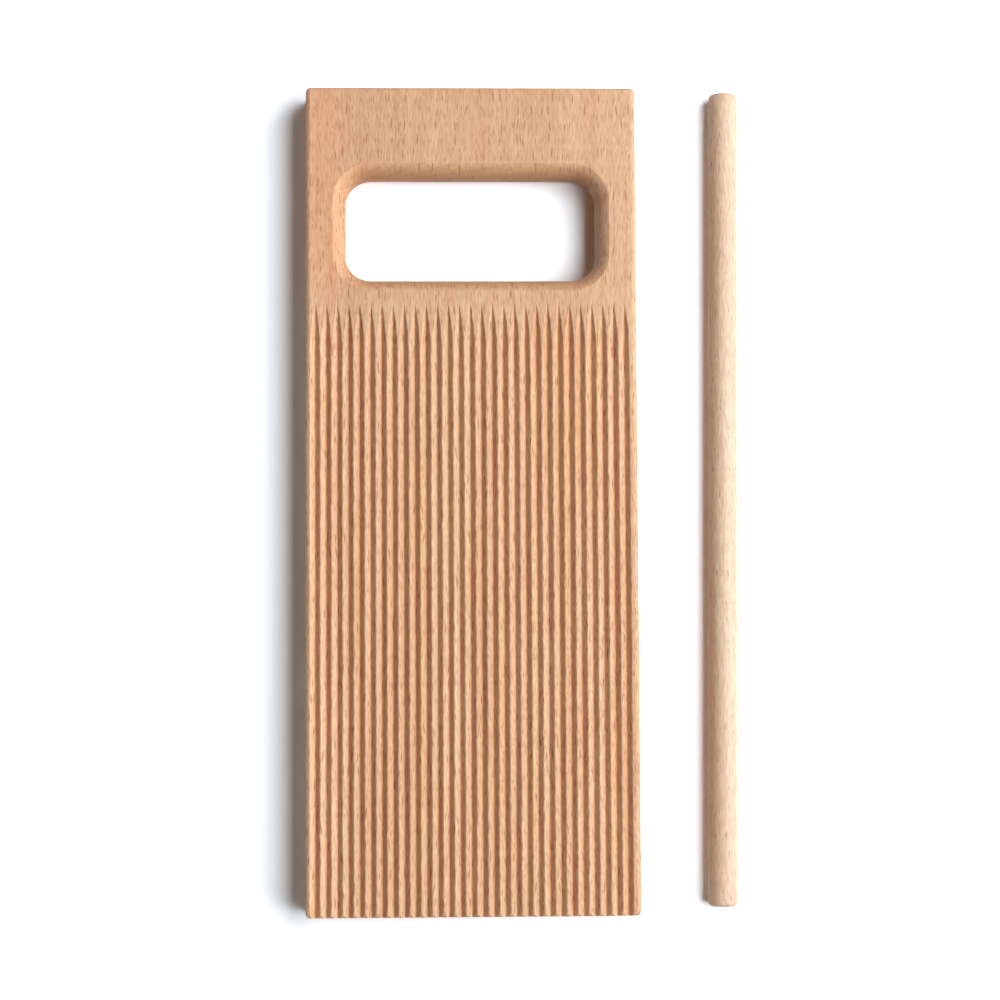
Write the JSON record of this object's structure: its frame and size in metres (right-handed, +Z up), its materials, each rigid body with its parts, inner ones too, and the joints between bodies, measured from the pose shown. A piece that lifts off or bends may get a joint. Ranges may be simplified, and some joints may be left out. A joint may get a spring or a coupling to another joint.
{
  "type": "gnocchi board",
  "caption": "Flat wooden board with parallel grooves and a moulded hand opening, and a loose round dowel beside it, for rolling ridged pasta.",
  "frame": {"origin": "centre of the board's underside, on the surface that the board lies on", "axes": "+Y along the board towards the hand opening, +X to the right towards the dowel, +Z up out of the grooved face"},
  "size_m": [0.1195, 0.2255, 0.015],
  "materials": {
    "board_wood": "bare planed beech with a warm pinkish tone",
    "dowel_wood": "bare tumbled beech, paler than the board"
  },
  "bodies": {
    "board": {"grooved_board": "board_wood"},
    "dowel": {"rolling_dowel": "dowel_wood"}
  },
  "joints": [
    {"name": "dowel_lift", "type": "slide", "parent": "board", "child": "dowel", "axis": [0, 0, 1], "range_m": [0, 0.06]}
  ]
}
